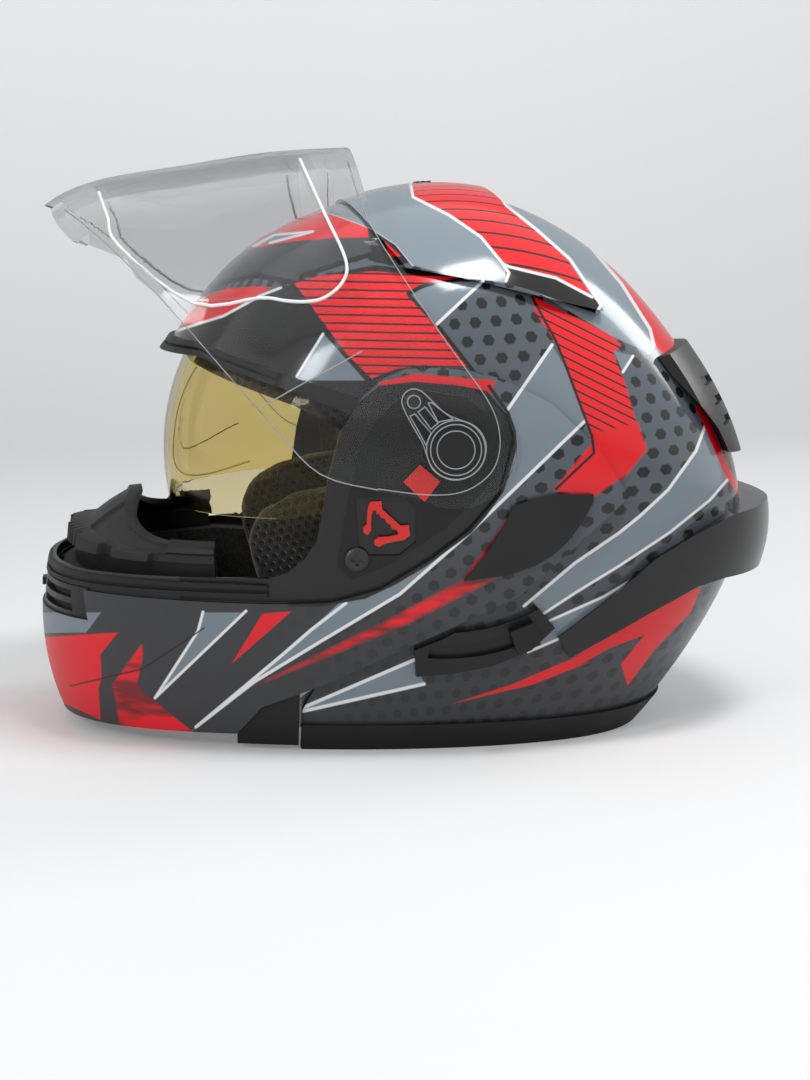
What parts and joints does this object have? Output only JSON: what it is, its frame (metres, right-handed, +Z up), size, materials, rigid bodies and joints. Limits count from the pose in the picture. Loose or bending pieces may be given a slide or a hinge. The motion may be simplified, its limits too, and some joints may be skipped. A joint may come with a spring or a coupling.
{
  "type": "modular motorcycle helmet",
  "caption": "Flip-up motorcycle helmet with a raised clear visor, amber sun visor, hinged chin bar, vents, padded liner and buckled chin strap.",
  "frame": {"origin": "on the table plane, at the middle of the length, on the plane of symmetry", "axes": "-X is the front, -Y the rider's left, +Z up"},
  "size_m": [0.3487, 0.2522, 0.2692],
  "materials": {
    "shell_paint": "gloss clear coat over stripes",
    "chin_paint": "satin charcoal with stripes",
    "black_gloss": "gloss black",
    "black_satin": "satin black",
    "black_matte": "matte black",
    "rubber": "matte",
    "foam": "fine beaded foam",
    "pad_fabric": "brushed mesh",
    "webbing": "woven",
    "clear": "clear hard coat",
    "film": "clear film",
    "amber": "amber tint",
    "red_plastic": "semi-gloss",
    "steel": "brushed",
    "black_steel": "blackened"
  },
  "bodies": {
    "shell": {"outer_shell": "shell_paint", "bottom_edge": "rubber", "eps_liner": "foam", "crown_pad": "pad_fabric", "neck_roll": "pad_fabric", "brow_gasket": "rubber", "port_trim": "pad_fabric", "slider_cover": "black_satin", "rear_spoiler": "black_gloss", "crown_cover": "shell_paint", "buckle_receiver": "black_matte", "buckle_tongue": "black_matte", "cheek_pad_left": "pad_fabric", "cheek_pad_right": "pad_fabric", "sun_visor_pin_left": "steel", "sun_visor_pin_right": "steel", "chin_hinge_bolt_left": "steel", "chin_hinge_bolt_right": "steel", "exhaust_wing_left": "black_satin", "exhaust_wing_right": "black_satin", "latch_striker_left": "steel", "latch_striker_right": "steel", "chin_strap_left": "webbing", "chin_strap_right": "webbing"},
    "chin_bar": {"chin_shell": "chin_paint", "chin_liner": "foam", "chin_gasket": "rubber", "breath_deflector": "rubber", "chin_vent_cover": "black_satin", "base_plate_screws": "black_steel", "side_cover_left": "black_satin", "side_cover_right": "black_satin", "visor_base_plate_left": "black_matte", "visor_base_plate_right": "black_matte", "visor_detent_left": "red_plastic", "visor_detent_right": "red_plastic", "hub_cap_left": "black_matte", "hub_cap_right": "black_matte", "latch_cover_left": "black_matte", "latch_cover_right": "black_matte"},
    "clear_visor": {"visor": "clear", "visor_film": "film", "lift_tab": "clear"},
    "inner_visor": {"sun_visor": "amber"},
    "sun_slider": {"slider_knob": "black_matte"},
    "crown_vent": {"crown_slide": "black_satin"},
    "chin_vent": {"chin_vent_gate": "black_matte"},
    "release": {"release_button": "red_plastic"},
    "hook_left": {"latch_hook_left": "steel"},
    "hook_right": {"latch_hook_right": "steel"},
    "lock_left": {"visor_lock_left": "red_plastic"},
    "lock_right": {"visor_lock_right": "red_plastic"},
    "buckle": {"buckle_lever": "red_plastic"}
  },
  "joints": [
    {"name": "chin_flip", "type": "hinge", "parent": "shell", "child": "chin_bar", "pos_m": [0.0075, 0, 0.1395], "axis": [0, 1, 0], "range_deg": [0, 76]},
    {"name": "visor_turn", "type": "hinge", "parent": "chin_bar", "child": "clear_visor", "pos_m": [0.0075, 0, 0.1395], "axis": [0, 1, 0], "range_deg": [-52, 2]},
    {"name": "sun_visor_turn", "type": "hinge", "parent": "shell", "child": "inner_visor", "pos_m": [-0.012, 0, 0.128], "axis": [0, 1, 0], "range_deg": [0, 44]},
    {"name": "sun_slider_turn", "type": "hinge", "parent": "shell", "child": "sun_slider", "pos_m": [0.0075, 0, 0.1395], "axis": [0, 1, 0], "range_deg": [0, 24]},
    {"name": "crown_vent_slide", "type": "slide", "parent": "shell", "child": "crown_vent", "axis": [1, 0, 0], "range_m": [0, 0.006]},
    {"name": "chin_vent_slide", "type": "slide", "parent": "chin_bar", "child": "chin_vent", "axis": [0, 0, 1], "range_m": [0, 0.004]},
    {"name": "release_press", "type": "slide", "parent": "chin_bar", "child": "release", "axis": [0, 0, 1], "range_m": [0, 0.004], "stiffness_N_per_m": 400},
    {"name": "hook_left_turn", "type": "hinge", "parent": "chin_bar", "child": "hook_left", "pos_m": [-0.071, 0, 0.016], "axis": [0, 1, 0], "range_deg": [0, 16]},
    {"name": "hook_right_turn", "type": "hinge", "parent": "chin_bar", "child": "hook_right", "pos_m": [-0.071, 0, 0.016], "axis": [0, 1, 0], "range_deg": [0, 16]},
    {"name": "lock_left_slide", "type": "slide", "parent": "chin_bar", "child": "lock_left", "axis": [0.7071, 0, -0.7071], "range_m": [0, 0.002], "stiffness_N_per_m": 150},
    {"name": "lock_right_slide", "type": "slide", "parent": "chin_bar", "child": "lock_right", "axis": [0.7071, 0, -0.7071], "range_m": [0, 0.002], "stiffness_N_per_m": 150},
    {"name": "buckle_lift", "type": "hinge", "parent": "shell", "child": "buckle", "pos_m": [-0.014, -0.036, 0.0142], "axis": [1, 0, 0], "range_deg": [0, 30], "stiffness_Nm_per_rad": 0.05}
  ],
  "couplings": [
    {"joint": "sun_slider_turn", "follows": "sun_visor_turn", "ratio": 0.5},
    {"joint": "hook_left_turn", "follows": "release_press", "rad_per_m": 60},
    {"joint": "hook_right_turn", "follows": "release_press", "rad_per_m": 60}
  ]
}
